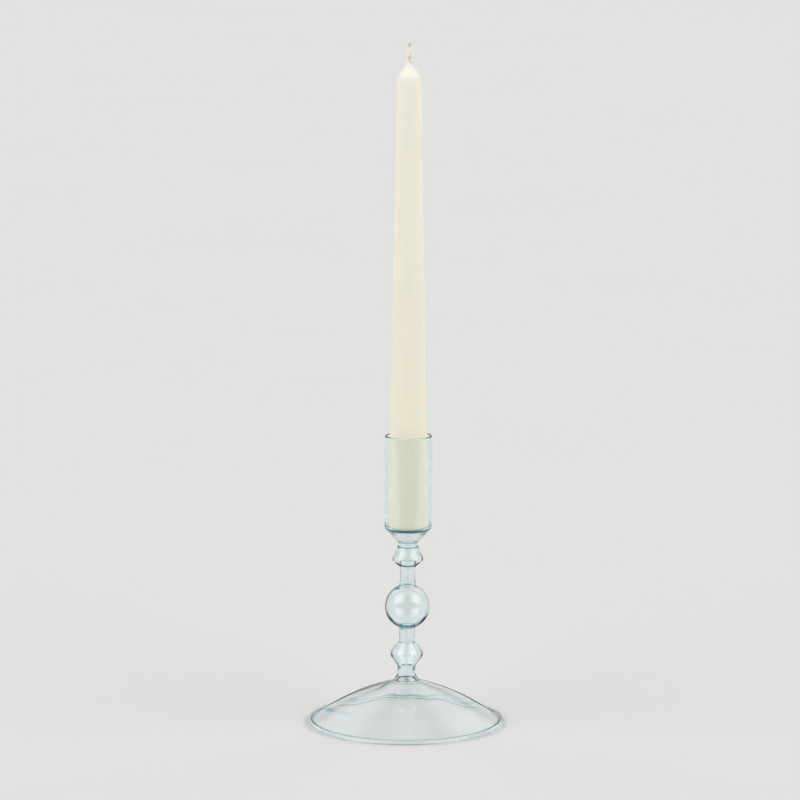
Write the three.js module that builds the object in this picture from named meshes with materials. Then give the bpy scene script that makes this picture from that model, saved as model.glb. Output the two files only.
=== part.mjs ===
// Blown glass candlestick that holds a tapered candle.
// Millimetres, +Z up, with the origin at the centre of the foot, on the table.
import * as THREE from 'three';

// Steps of the turned shapes
const ROUND_STEPS = 36;
const CURVE_STEPS = 6;
const SMALL_CURVE_STEPS = 3;
const DEGREE = Math.PI / 180;

// Foot: a thin dome with a rolled rim
const FOOT_DIAMETER = 112;
const FOOT_RISE = 24.8;
const FOOT_WALL = 1.3;
const FOOT_CROWN = 0.75;
const FOOT_RIM_THICKNESS = 3.2;
const FOOT_RIM_JOIN_ANGLE = 62;
const FOOT_REST_DEPTH = 0.12;

// Wall of the stem's hollow sections, and their leans.
// A lean is the change of radius for each millimetre of height.
const STEM_WALL = 1.6;
const COLLAR_FOOT_LEAN = -0.6;
const LOWER_KNOP_BOTTOM_LEAN = 0.3;
const LOWER_KNOP_TOP_LEAN = -0.9;
const LOWER_NECK_LEAN = -0.08;
const UPPER_NECK_FLARE_LEAN = -0.3;
const UPPER_NECK_TOP_LEAN = 0.08;
const MERESE_BOTTOM_LEAN = -0.6;
const MERESE_TOP_LEAN = 0.4;

// Collar: the flared waist that carries the stem on the foot
const COLLAR_FOOT_DIAMETER = 14.4;
const COLLAR_WAIST_DIAMETER = 9.8;
const COLLAR_TOP_DIAMETER = 10.2;
const COLLAR_FLARE_RISE = 5.6;
const COLLAR_NECK_RISE = 2.4;

// Lower knop
const LOWER_KNOP_DIAMETER = 18.5;
const LOWER_KNOP_BELLY_RISE = 7.4;
const LOWER_KNOP_SHOULDER_RISE = 6.9;

// Lower neck
const LOWER_NECK_BOTTOM_DIAMETER = 9.2;
const LOWER_NECK_TOP_DIAMETER = 8.6;
const LOWER_NECK_LENGTH = 8.8;

// Hollow ball
const BALL_DIAMETER = 25.6;
const BALL_WALL = 1.4;

// Upper neck, flared where it is welded to the ball
const UPPER_NECK_BOTTOM_DIAMETER = 9.9;
const UPPER_NECK_WAIST_DIAMETER = 8.5;
const UPPER_NECK_TOP_DIAMETER = 8.7;
const UPPER_NECK_FLARE_RISE = 7.5;
const UPPER_NECK_TUBE_RISE = 4.6;

// Upper knop, with a low belly over a flat underside
const UPPER_KNOP_DIAMETER = 17.6;
const UPPER_KNOP_TOP_DIAMETER = 12;
const UPPER_KNOP_BELLY_RISE = 3.3;
const UPPER_KNOP_SHOULDER_RISE = 7.6;

// Merese: the small spool under the cup
const MERESE_WAIST_DIAMETER = 11;
const MERESE_TOP_DIAMETER = 11.7;
const MERESE_LENGTH = 2.8;

// Candle cup: a cone that opens into a straight tube
const CUP_DIAMETER = 26.8;
const CUP_WALL = 1.45;
const CUP_CONE_RISE = 8.1;
const CUP_TUBE_RISE = 53.4;
const CUP_CORNER_ROUND = 3;
const CUP_FLOOR_THICKNESS = 1.5;

// Candle and its fit in the cup
const CANDLE_SIDE_CLEARANCE = 0.95;
const CANDLE_SEAT_CLEARANCE = 0.3;
const CANDLE_CHAMFER = 1.1;
const CANDLE_HEEL_LENGTH = 55;
const CANDLE_HEEL_TAPER = 0.55;
const CANDLE_TAPER_LENGTH = 199.7;
const CANDLE_SHOULDER_DIAMETER = 12.9;
const CANDLE_SHOULDER_LEAN = -0.03;
const CANDLE_TIP_LENGTH = 9.3;
const CANDLE_TIP_COLLAR = 0.5;
const CANDLE_TIP_LEAN = -1;

// Wick and its fit in the candle
const WICK_DIAMETER = 2.7;
const WICK_CLEARANCE = 0.3;
const WICK_END_LENGTH = 14.2;
const WICK_SWAY = 0.35;
const WICK_PINCH = 0.3;
const WICK_FRAY_DIAMETER = 3.1;
const WICK_STEPS = 8;

// Colour and roughness of the three materials
const GLASS = { color: 0xd3e6e3, roughness: 0.05 };
const WAX = { color: 0xe9e4d1, roughness: 0.6 };
const COTTON = { color: 0xe2d2ae, roughness: 0.95 };

// Heights of the weld planes, from the table up
const ballRadius = BALL_DIAMETER / 2;
const collarTop = FOOT_RISE + COLLAR_FLARE_RISE + COLLAR_NECK_RISE;
const lowerKnopTop = collarTop + LOWER_KNOP_BELLY_RISE + LOWER_KNOP_SHOULDER_RISE;
const lowerNeckTop = lowerKnopTop + LOWER_NECK_LENGTH;
const ballCentre = lowerNeckTop + sphereReach(ballRadius, LOWER_NECK_TOP_DIAMETER / 2);
const ballTop = ballCentre + sphereReach(ballRadius, UPPER_NECK_BOTTOM_DIAMETER / 2);
const upperNeckTop = ballTop + UPPER_NECK_FLARE_RISE + UPPER_NECK_TUBE_RISE;
const upperKnopTop = upperNeckTop + UPPER_KNOP_BELLY_RISE + UPPER_KNOP_SHOULDER_RISE;
const mereseTop = upperKnopTop + MERESE_LENGTH;
const cupRim = mereseTop + CUP_CONE_RISE + CUP_TUBE_RISE;

// Seat cone inside the cup: the outer cone moved inward by the wall
const cupBoreRadius = CUP_DIAMETER / 2 - CUP_WALL;
const cupFloor = mereseTop + CUP_FLOOR_THICKNESS;
const coneSpread = (CUP_DIAMETER - MERESE_TOP_DIAMETER) / 2;
const conePitch = CUP_CONE_RISE / coneSpread;
const coneStretch = Math.hypot(coneSpread, CUP_CONE_RISE) / coneSpread;

// Candle: its chamfered base lies a clearance above the seat cone
const candleBaseRadius = cupBoreRadius - CANDLE_SIDE_CLEARANCE;
const candleFaceRadius = candleBaseRadius - CANDLE_CHAMFER;
const candleBase = seatHeight(candleFaceRadius) + CANDLE_SEAT_CLEARANCE * coneStretch;
const candleShoulder = candleBase + CANDLE_HEEL_LENGTH + CANDLE_TAPER_LENGTH;
const candleTop = candleShoulder + CANDLE_TIP_LENGTH;
const wickBoreRadius = WICK_DIAMETER / 2 + WICK_CLEARANCE;

// Distance along the axis from a sphere's centre to where its section has the given radius
function sphereReach(sphereRadius, sectionRadius) {
  return Math.sqrt(sphereRadius ** 2 - sectionRadius ** 2);
}

// Height of the seat cone's surface at a radius
function seatHeight(radius) {
  return mereseTop + (radius - MERESE_TOP_DIAMETER / 2) * conePitch + CUP_WALL * coneStretch;
}

// Radius of the seat cone's surface at a height
function seatRadius(height) {
  return (height - seatHeight(0)) / conePitch;
}

// Place on an outline, where a flowing stretch starts or ends
function station(diameter, height, lean = 0) {
  return { radius: diameter / 2, height, lean };
}

// Points of a flowing stretch between two stations
function flowing(from, to, steps = CURVE_STEPS) {
  const rise = to.height - from.height;
  const points = [];
  for (let step = 0; step <= steps; step += 1) {
    const t = step / steps;
    const start = 2 * t ** 3 - 3 * t ** 2 + 1;
    const leave = t ** 3 - 2 * t ** 2 + t;
    const arrive = t ** 3 - t ** 2;
    const radius = start * from.radius + (1 - start) * to.radius
      + rise * (leave * from.lean + arrive * to.lean);
    points.push([radius, from.height + t * rise]);
  }
  return points;
}

// Points round part of an ellipse, from one angle to another in degrees
function arc(centre, acrossRadius, uprightRadius, fromAngle, toAngle, steps = CURVE_STEPS) {
  const points = [];
  for (let step = 0; step <= steps; step += 1) {
    const angle = (fromAngle + (toAngle - fromAngle) * (step / steps)) * DEGREE;
    const radius = centre[0] + acrossRadius * Math.cos(angle);
    const height = centre[1] + uprightRadius * Math.sin(angle);
    points.push([radius, height]);
  }
  return points;
}

// Points of a round between two straight runs that meet at a corner.
// The round stops short of the middle of either run.
function rounded(before, corner, after, roundRadius) {
  const middle = new THREE.Vector2(...corner);
  const toStart = new THREE.Vector2(...before).sub(middle);
  const toEnd = new THREE.Vector2(...after).sub(middle);
  const halfAngle = toStart.angleTo(toEnd) / 2;
  const longest = Math.min(toStart.length(), toEnd.length()) / 2;
  const setBack = Math.min(roundRadius / Math.tan(halfAngle), longest);
  const first = middle.clone().add(toStart.setLength(setBack));
  const last = middle.clone().add(toEnd.setLength(setBack));
  const curve = new THREE.QuadraticBezierCurve(first, middle, last);
  return curve.getPoints(SMALL_CURVE_STEPS).map((point) => [point.x, point.y]);
}

// Points moved square off a run, to its left as the run is walked
function offsetRun(run, distance) {
  return run.map((point, index) => {
    const before = run[Math.max(index - 1, 0)];
    const after = run[Math.min(index + 1, run.length - 1)];
    const along = new THREE.Vector2(after[0] - before[0], after[1] - before[1]).normalize();
    return [point[0] - along.y * distance, point[1] + along.x * distance];
  });
}

// Same points, nearer the axis by the wall
function hollowed(run, wall) {
  return run.map(([radius, height]) => [radius - wall, height]);
}

// Solid turned from an outline that runs anticlockwise, with radius to the right and height up
function turned(outline) {
  const points = outline.map(([radius, height]) => new THREE.Vector2(radius, height));
  const meetsAxis = outline[0][0] === 0;
  if (!meetsAxis) {
    points.push(points[0].clone());
  }
  const geometry = new THREE.LatheGeometry(points, ROUND_STEPS);
  geometry.rotateX(Math.PI / 2);
  return geometry;
}

// Hollow stem section: the outer run goes up, and the bore comes back down inside it
function stemSection(outerRun) {
  return turned([...outerRun, ...hollowed(outerRun, STEM_WALL).reverse()]);
}

// Stem section that flows through three stations
function waistedSection(bottom, waist, top, steps) {
  return stemSection([...flowing(bottom, waist, steps), ...flowing(waist, top, steps).slice(1)]);
}

// Foot, turned as a thin dome that ends in a rolled rim with a narrow flat to stand on
function footGeometry() {
  const rimRadius = FOOT_RIM_THICKNESS / 2;
  const rimCentre = [FOOT_DIAMETER / 2 - rimRadius, rimRadius - FOOT_REST_DEPTH];
  const restAngle = Math.acos(rimCentre[1] / rimRadius) / DEGREE;
  const innerJoin = FOOT_RIM_JOIN_ANGLE + Math.acos(1 - FOOT_WALL / rimRadius) / DEGREE;
  const insideRim = arc(rimCentre, rimRadius, rimRadius,
    innerJoin, 270 - restAngle, SMALL_CURVE_STEPS);
  const outsideRim = arc(rimCentre, rimRadius, rimRadius,
    270 + restAngle, 360 + FOOT_RIM_JOIN_ANGLE);
  const edge = new THREE.Vector2(...outsideRim[outsideRim.length - 1]);
  const top = new THREE.Vector2(COLLAR_FOOT_DIAMETER / 2, FOOT_RISE);
  const chord = top.clone().sub(edge).normalize();
  const bulge = new THREE.Vector2(chord.y, -chord.x).multiplyScalar(2 * FOOT_CROWN);
  const pull = top.clone().add(edge).divideScalar(2).add(bulge);
  const dome = new THREE.QuadraticBezierCurve(edge, pull, top);
  const outerRun = dome.getPoints(CURVE_STEPS).map((point) => [point.x, point.y]);
  const innerRun = offsetRun(outerRun, FOOT_WALL).slice(1).reverse();
  const bore = [COLLAR_FOOT_DIAMETER / 2 - STEM_WALL, FOOT_RISE];
  return turned([...insideRim, ...outsideRim, ...outerRun.slice(1), bore, ...innerRun]);
}

// Collar, from its flare on the foot over the waist to the lower knop
function footCollarGeometry() {
  const flare = station(COLLAR_FOOT_DIAMETER, FOOT_RISE, COLLAR_FOOT_LEAN);
  const waist = station(COLLAR_WAIST_DIAMETER, FOOT_RISE + COLLAR_FLARE_RISE);
  const top = station(COLLAR_TOP_DIAMETER, collarTop, LOWER_KNOP_BOTTOM_LEAN);
  return waistedSection(flare, waist, top, SMALL_CURVE_STEPS);
}

// Lower knop, swelling from the collar and running in steeply to the neck
function lowerKnopGeometry() {
  const bottom = station(COLLAR_TOP_DIAMETER, collarTop, LOWER_KNOP_BOTTOM_LEAN);
  const belly = station(LOWER_KNOP_DIAMETER, collarTop + LOWER_KNOP_BELLY_RISE);
  const top = station(LOWER_NECK_BOTTOM_DIAMETER, lowerKnopTop, LOWER_KNOP_TOP_LEAN);
  return waistedSection(bottom, belly, top, CURVE_STEPS);
}

// Lower neck, a short tube that narrows a little towards the ball
function lowerNeckGeometry() {
  const bottom = station(LOWER_NECK_BOTTOM_DIAMETER, lowerKnopTop, LOWER_NECK_LEAN);
  const top = station(LOWER_NECK_TOP_DIAMETER, lowerNeckTop);
  return stemSection(flowing(bottom, top, SMALL_CURVE_STEPS));
}

// Ball, blown hollow, with the stem's bore at its bottom and its top
function ballGeometry() {
  const centre = [0, ballCentre];
  const bottomRadius = LOWER_NECK_TOP_DIAMETER / 2;
  const topRadius = UPPER_NECK_BOTTOM_DIAMETER / 2;
  const bottomBore = bottomRadius - STEM_WALL;
  const topBore = topRadius - STEM_WALL;
  const innerRadius = ballRadius - BALL_WALL;
  const outerSkin = arc(centre, ballRadius, ballRadius,
    -Math.acos(bottomRadius / ballRadius) / DEGREE,
    Math.acos(topRadius / ballRadius) / DEGREE, 2 * CURVE_STEPS);
  const innerSkin = arc(centre, innerRadius, innerRadius,
    Math.acos(topBore / innerRadius) / DEGREE,
    -Math.acos(bottomBore / innerRadius) / DEGREE, 2 * CURVE_STEPS);
  return turned([...outerSkin, [topBore, ballTop], ...innerSkin, [bottomBore, lowerNeckTop]]);
}

// Upper neck, flared at the ball and straight at the knop
function upperNeckGeometry() {
  const bottom = station(UPPER_NECK_BOTTOM_DIAMETER, ballTop, UPPER_NECK_FLARE_LEAN);
  const waist = station(UPPER_NECK_WAIST_DIAMETER, ballTop + UPPER_NECK_FLARE_RISE);
  const top = station(UPPER_NECK_TOP_DIAMETER, upperNeckTop, UPPER_NECK_TOP_LEAN);
  return waistedSection(bottom, waist, top, SMALL_CURVE_STEPS);
}

// Upper knop: a rounded underside, a low belly and a long shoulder
function upperKnopGeometry() {
  const neckRadius = UPPER_NECK_TOP_DIAMETER / 2;
  const boreRadius = neckRadius - STEM_WALL;
  const belly = station(UPPER_KNOP_DIAMETER, upperNeckTop + UPPER_KNOP_BELLY_RISE);
  const top = station(UPPER_KNOP_TOP_DIAMETER, upperKnopTop);
  const innerBellyRadius = belly.radius - STEM_WALL;
  const underside = arc([neckRadius, belly.height],
    belly.radius - neckRadius, UPPER_KNOP_BELLY_RISE, -90, 0);
  const innerUnderside = arc([boreRadius, belly.height],
    innerBellyRadius - boreRadius, UPPER_KNOP_BELLY_RISE - STEM_WALL, 0, -90);
  const shoulder = flowing(belly, top).slice(1);
  const innerShoulder = hollowed(shoulder, STEM_WALL).reverse();
  return turned([
    ...underside, ...shoulder, ...innerShoulder, ...innerUnderside, [boreRadius, upperNeckTop],
  ]);
}

// Merese, drawn in a little between the knop and the cup
function mereseGeometry() {
  const bottom = station(UPPER_KNOP_TOP_DIAMETER, upperKnopTop, MERESE_BOTTOM_LEAN);
  const waist = station(MERESE_WAIST_DIAMETER, (upperKnopTop + mereseTop) / 2);
  const top = station(MERESE_TOP_DIAMETER, mereseTop, MERESE_TOP_LEAN);
  return waistedSection(bottom, waist, top, SMALL_CURVE_STEPS);
}

// Cup, closed at the bottom, with a fire-polished rim
function candleCupGeometry() {
  const outerRadius = CUP_DIAMETER / 2;
  const rimRadius = CUP_WALL / 2;
  const rimCentre = [outerRadius - rimRadius, cupRim - rimRadius];
  const outerBottom = [MERESE_TOP_DIAMETER / 2, mereseTop];
  const outerCorner = [outerRadius, mereseTop + CUP_CONE_RISE];
  const outerTop = [outerRadius, rimCentre[1]];
  const innerTop = [cupBoreRadius, rimCentre[1]];
  const innerCorner = [cupBoreRadius, seatHeight(cupBoreRadius)];
  const innerBottom = [seatRadius(cupFloor), cupFloor];
  const innerRoundRadius = Math.max(CUP_CORNER_ROUND - CUP_WALL, rimRadius);
  return turned([
    [0, mereseTop],
    outerBottom,
    ...rounded(outerBottom, outerCorner, outerTop, CUP_CORNER_ROUND),
    ...arc(rimCentre, rimRadius, rimRadius, 0, 180),
    ...rounded(innerTop, innerCorner, innerBottom, innerRoundRadius),
    innerBottom,
    [0, cupFloor],
  ]);
}

// Candle, with a straight heel in the cup, a long taper and a drawn tip round the wick
function candleGeometry() {
  const shoulder = station(CANDLE_SHOULDER_DIAMETER, candleShoulder, CANDLE_SHOULDER_LEAN);
  const tipDiameter = 2 * (wickBoreRadius + CANDLE_TIP_COLLAR);
  const tip = station(tipDiameter, candleTop, CANDLE_TIP_LEAN);
  return turned([
    [candleFaceRadius, candleBase],
    [candleBaseRadius, candleBase + CANDLE_CHAMFER * conePitch],
    [candleBaseRadius - CANDLE_HEEL_TAPER, candleBase + CANDLE_HEEL_LENGTH],
    ...flowing(shoulder, tip),
    [wickBoreRadius, candleTop],
    [wickBoreRadius, candleBase],
  ]);
}

// Wick, straight in its bore, then pinched, swaying a little and frayed at its end
function wickGeometry() {
  const radius = WICK_DIAMETER / 2;
  const outline = [[0, candleBase], [radius, candleBase]];
  for (let step = 0; step <= WICK_STEPS; step += 1) {
    const t = step / WICK_STEPS;
    const pinch = WICK_PINCH * Math.sin(Math.PI * t) ** 2;
    const fray = (WICK_FRAY_DIAMETER / 2 - radius) * t ** 4;
    outline.push([radius - pinch + fray, candleTop + t * WICK_END_LENGTH]);
  }
  outline.push([0, candleTop + WICK_END_LENGTH]);
  const geometry = turned(outline);
  const points = geometry.getAttribute('position');
  for (let index = 0; index < points.count; index += 1) {
    const t = Math.max((points.getZ(index) - candleTop) / WICK_END_LENGTH, 0);
    points.setX(index, points.getX(index) + WICK_SWAY * t * Math.sin(2 * Math.PI * t));
  }
  return geometry;
}

// Named piece with a material of its own, none of them metal
function piece(name, geometry, finish = GLASS) {
  const material = new THREE.MeshStandardMaterial({ ...finish, metalness: 0 });
  const mesh = new THREE.Mesh(geometry, material);
  mesh.name = name;
  return mesh;
}

// Candlestick: every glass section from the foot to the cup, welded end to end
const candlestick = new THREE.Group();
candlestick.add(
  piece('foot', footGeometry()),
  piece('foot_collar', footCollarGeometry()),
  piece('lower_knop', lowerKnopGeometry()),
  piece('lower_neck', lowerNeckGeometry()),
  piece('ball', ballGeometry()),
  piece('upper_neck', upperNeckGeometry()),
  piece('upper_knop', upperKnopGeometry()),
  piece('merese', mereseGeometry()),
  piece('candle_cup', candleCupGeometry()),
);

// Loose candle, which lifts out of the cup with its wick
const looseCandle = new THREE.Group();
looseCandle.add(
  piece('candle', candleGeometry(), WAX),
  piece('wick', wickGeometry(), COTTON),
);

const model = new THREE.Group();
model.add(candlestick, looseCandle);

export default model;
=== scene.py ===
# %% [markdown]
# # A blown glass candlestick with a candle in it
#
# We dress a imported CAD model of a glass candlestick: nine sections of blown glass, welded end
# to end in a flame, and a tapered candle with its wick that stands loose in the cup. The CAD
# model gives every size and every place. Here we make the same pieces again with finer
# curves, a little unevenness from the maker's hand, and materials that look like the photograph.

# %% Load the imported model
import math
import random

import bmesh
import bpy
from mathutils import Matrix, Vector


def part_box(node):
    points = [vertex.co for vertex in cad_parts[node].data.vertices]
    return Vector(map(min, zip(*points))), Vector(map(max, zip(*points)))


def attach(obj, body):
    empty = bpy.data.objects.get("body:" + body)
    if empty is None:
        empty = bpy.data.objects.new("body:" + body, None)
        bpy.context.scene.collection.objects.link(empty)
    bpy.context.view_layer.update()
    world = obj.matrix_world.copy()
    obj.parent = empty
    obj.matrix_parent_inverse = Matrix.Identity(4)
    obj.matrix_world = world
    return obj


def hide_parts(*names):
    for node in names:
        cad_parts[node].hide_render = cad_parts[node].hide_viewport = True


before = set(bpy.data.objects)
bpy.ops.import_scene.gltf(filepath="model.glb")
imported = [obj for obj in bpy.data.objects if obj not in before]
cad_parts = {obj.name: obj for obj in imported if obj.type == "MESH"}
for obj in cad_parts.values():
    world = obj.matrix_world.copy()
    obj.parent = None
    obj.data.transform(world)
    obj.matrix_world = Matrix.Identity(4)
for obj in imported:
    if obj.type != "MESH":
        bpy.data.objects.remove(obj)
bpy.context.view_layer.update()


def span_of(node):
    """The lowest and the highest height of a CAD node, in mm."""
    return [1000 * corner.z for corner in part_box(node)]


print("CAD nodes:", ", ".join(sorted(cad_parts)))

# %% [markdown]
# ## The camera
#
# The photograph was taken with a long lens from a little over two metres, which keeps the sides
# of the candle nearly parallel. The ovals of foot and cup tell how far the camera looks down.
# The whole candlestick leans a hair to the right in the picture, which a small roll of the
# camera gives.

# %% Place the camera
MM = 0.001
LENS = 180
FILM_WIDTH = 36
CAMERA_DISTANCE = 2.240
CAMERA_HEIGHT = 0.5542
CAMERA_SIDE = -0.0049
CAMERA_DROP = 9.30
CAMERA_ROLL = 0.10

camera_data = bpy.data.cameras.new("camera")
camera_data.lens = LENS
camera_data.sensor_width = FILM_WIDTH
camera_data.clip_start = 0.05
camera_data.clip_end = 100
camera = bpy.data.objects.new("camera", camera_data)
bpy.context.scene.collection.objects.link(camera)
spot = Matrix.Translation((CAMERA_SIDE, -CAMERA_DISTANCE, CAMERA_HEIGHT))
aim = Matrix.Rotation(math.radians(90 - CAMERA_DROP), 4, "X")
roll = Matrix.Rotation(math.radians(CAMERA_ROLL), 4, "Z")
camera.matrix_world = spot @ aim @ roll
bpy.context.scene.camera = camera
print("camera looks down by", CAMERA_DROP, "degrees")

# %% [markdown]
# ## Nodes in a few words
#
# Every material here is a small tree of nodes. A few helpers keep the trees readable. The first
# ones add a node and set its numbers, link two sockets, and start a new material.

# %% Helpers for node trees
def add_node(tree, kind, settings=None, **values):
    """A new node in a tree, with its settings and the numbers of its input sockets."""
    node = tree.nodes.new(kind)
    for name, value in (settings or {}).items():
        setattr(node, name, value)
    for name, value in values.items():
        node.inputs[name.replace("_", " ")].default_value = value
    return node


def join(tree, source, output, target, entry):
    """Links the output of one node to the entry of another."""
    tree.links.new(source.outputs[output], target.inputs[entry])


def new_material(name):
    """A new material, its node tree and its Principled shader."""
    material = bpy.data.materials.new(name)
    material.use_nodes = True
    tree = material.node_tree
    return material, tree, tree.nodes["Principled BSDF"]


print("helpers for nodes ready")

# %% [markdown]
# ## Sums, slopes and blends
#
# The same few steps come back in every tree: a sum, a slope from one value to another, and a
# blend of two colours. A blend has sockets for numbers, arrows and colours under the same names,
# so we pick those for colours by their place.

# %% Helpers for numbers and colours
TONE_A = 6
TONE_B = 7
TONE_OUT = 2


def number_node(tree, operation, clamp=False):
    """A node that works out a number from one or two others."""
    return add_node(tree, "ShaderNodeMath", {"operation": operation, "use_clamp": clamp})


def vector_node(tree, operation):
    """A node that works something out from places or directions."""
    return add_node(tree, "ShaderNodeVectorMath", {"operation": operation})


def slope(tree, start, end, low=0.0, high=1.0, kind="LINEAR"):
    """A node that goes evenly from low at start to high at end, and stays there."""
    span = {"From_Min": start, "From_Max": end, "To_Min": low, "To_Max": high}
    return add_node(tree, "ShaderNodeMapRange", {"interpolation_type": kind}, **span)


def fade(tree, start, end, low=0.0, high=1.0):
    """A slope that sets out softly and arrives softly."""
    return slope(tree, start, end, low, high, "SMOOTHSTEP")


def blend_tones(tree, first=None, second=None):
    """A node that blends two colours. One that isn't given comes from a link."""
    node = add_node(tree, "ShaderNodeMix", {"data_type": "RGBA"})
    for entry, tone in ((TONE_A, first), (TONE_B, second)):
        if tone:
            node.inputs[entry].default_value = tone
    return node


def ramp_of(tree, stops):
    """A colour ramp from its stops: pairs of a position and a grey level or a colour."""
    node = add_node(tree, "ShaderNodeValToRGB")
    elements = node.color_ramp.elements
    while len(elements) < len(stops):
        elements.new(1.0)
    for element, (position, tone) in zip(elements, stops):
        element.position = position
        element.color = tone if isinstance(tone, tuple) else (tone, tone, tone, 1.0)
    return node


print("helpers for numbers and colours ready")

# %% [markdown]
# ## Noise and bumps
#
# Noise gives a surface what a plain colour hasn't got: clouds, grain and ripples. It is tied to
# the piece, so that it stays in place when the piece moves. A stretch draws it out along an axis.

# %% Helpers for noise and bumps
def noise_on(tree, place, stretch=None, **values):
    """A noise tied to the piece, with its own scale along each axis if a stretch is given."""
    node = add_node(tree, "ShaderNodeTexNoise", **values)
    if stretch:
        drawn = add_node(tree, "ShaderNodeMapping", Scale=stretch)
        join(tree, place, "Object", drawn, "Vector")
        join(tree, drawn, "Vector", node, "Vector")
    else:
        join(tree, place, "Object", node, "Vector")
    return node


def add_bump(tree, noise, strength, height, shader):
    """Lets a noise raise and lower the surface by up to a height in mm."""
    bump = add_node(tree, "ShaderNodeBump", Strength=strength, Distance=height * MM)
    join(tree, noise, "Fac", bump, "Height")
    join(tree, bump, "Normal", shader, "Normal")


print("helpers for noise ready")

# %% [markdown]
# ## The floor
#
# The candlestick stands on pale paper that runs on to the horizon. A large disc does for it, in
# one pale tone with a faint mottle.

# %% Pale floor
FLOOR_REACH = 40.0
FLOOR_DROP = 0.1 * MM
FLOOR_TONE = (0.752, 0.752, 0.738, 1.0)
FLOOR_TONE_WORN = (0.742, 0.742, 0.728, 1.0)


def object_from(name, shape):
    """A new object in the scene from a finished bmesh, which is then freed."""
    mesh = bpy.data.meshes.new(name)
    shape.to_mesh(mesh)
    shape.free()
    thing = bpy.data.objects.new(name, mesh)
    bpy.context.scene.collection.objects.link(thing)
    return thing


shape = bmesh.new()
bmesh.ops.create_circle(shape, cap_ends=True, segments=96, radius=FLOOR_REACH)
bmesh.ops.translate(shape, verts=shape.verts, vec=(0, 0, -FLOOR_DROP))
floor = object_from("floor", shape)

paper, tree, shader = new_material("studio_paper")
shader.inputs["Roughness"].default_value = 0.9
shader.inputs["Specular IOR Level"].default_value = 0.0
place = add_node(tree, "ShaderNodeTexCoord")
mottle = noise_on(tree, place, Scale=3.0, Detail=4.0)
mottled = blend_tones(tree, FLOOR_TONE, FLOOR_TONE_WORN)
join(tree, mottle, "Fac", mottled, 0)
floor.data.materials.append(paper)
print("floor radius in m:", FLOOR_REACH)

# %% [markdown]
# ## Dark flags that only the glass sees
#
# Whoever photographs glass also lays dark cards, called flags, just out of view, because clear
# glass has no edge of its own and borrows one from what it mirrors. Real cards would throw
# shadows here and would show in a view from above. So the floor itself is dark in two places, and
# only in light that the glass has mirrored. Looked at straight, it is plain paper. One place is a
# ring round the candlestick, cut down to a strip about as wide as the foot, so that it lies right
# behind the foot and right before it. The other is all that lies far in front.

# %% Where the flags lie
FLAG_STOPS = [
    # distance from the candlestick in m, darkness
    (0.070, 0.0),
    (0.090, 1.0),
    (0.33, 1.0),
    (0.42, 0.0),
]
FLAG_HALF = 0.06
FLAG_EDGE = 0.025
FRONT_FLAG = -0.45
FRONT_EDGE = 0.05
FRONT_DEPTH = 0.9

distance = vector_node(tree, "LENGTH")
near = ramp_of(tree, FLAG_STOPS)
sides = add_node(tree, "ShaderNodeSeparateXYZ")
beside = number_node(tree, "ABSOLUTE")
narrow = fade(tree, FLAG_HALF + FLAG_EDGE, FLAG_HALF)
patch = number_node(tree, "MULTIPLY")
front = fade(tree, FRONT_FLAG + FRONT_EDGE, FRONT_FLAG - FRONT_EDGE, high=FRONT_DEPTH)
flags = number_node(tree, "MAXIMUM")
join(tree, place, "Object", distance, 0)
join(tree, distance, "Value", near, "Fac")
join(tree, place, "Object", sides, "Vector")
join(tree, sides, "X", beside, 0)
join(tree, beside, "Value", narrow, "Value")
join(tree, near, "Color", patch, 0)
join(tree, narrow, "Result", patch, 1)
join(tree, sides, "Y", front, "Value")
join(tree, patch, "Value", flags, 0)
join(tree, front, "Result", flags, 1)
print("flags: up to", FLAG_STOPS[2][0], "m away, and in front from", -FRONT_FLAG, "m")

# %% Show them in mirrored light alone
FLAG_TONE = (0.015, 0.045, 0.06, 1.0)
FRINGE_TONE = (0.30, 0.60, 0.68, 1.0)

path = add_node(tree, "ShaderNodeLightPath")
mirrored = number_node(tree, "MULTIPLY", True)
fringe = blend_tones(tree, FRINGE_TONE, FLAG_TONE)
seen = blend_tones(tree)
join(tree, flags, "Value", mirrored, 0)
join(tree, path, "Glossy Depth", mirrored, 1)
join(tree, mirrored, "Value", fringe, 0)
join(tree, mirrored, "Value", seen, 0)
join(tree, mottled, TONE_OUT, seen, TONE_A)
join(tree, fringe, TONE_OUT, seen, TONE_B)
join(tree, seen, TONE_OUT, shader, "Base Color")
print("flag tone:", FLAG_TONE[:3])

# %% [markdown]
# ## The room
#
# A glass object shows little but its surroundings, so the studio is half of its look. Clear
# glass looks pale where it shows the paper, and dark where it mirrors an unlit room. So the sky
# is pale at the horizon, dim above it and brighter again overhead, and its side behind the camera
# is darker still. Mirrored views alone see that unlit side, so that it costs the paper no light.

# %% World: pale horizon, dim room
ROOM_STOPS = [
    # height from straight down (0) to straight up (1), brightness
    (0.50, 0.74),
    (0.60, 0.70),
    (0.74, 0.06),
    (0.95, 0.06),
    (1.0, 0.5),
]
ROOM_BLUE = 0.985
UNLIT_LEVEL = 0.05
UNLIT_FROM = -0.45
UNLIT_FULL = -0.70

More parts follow.
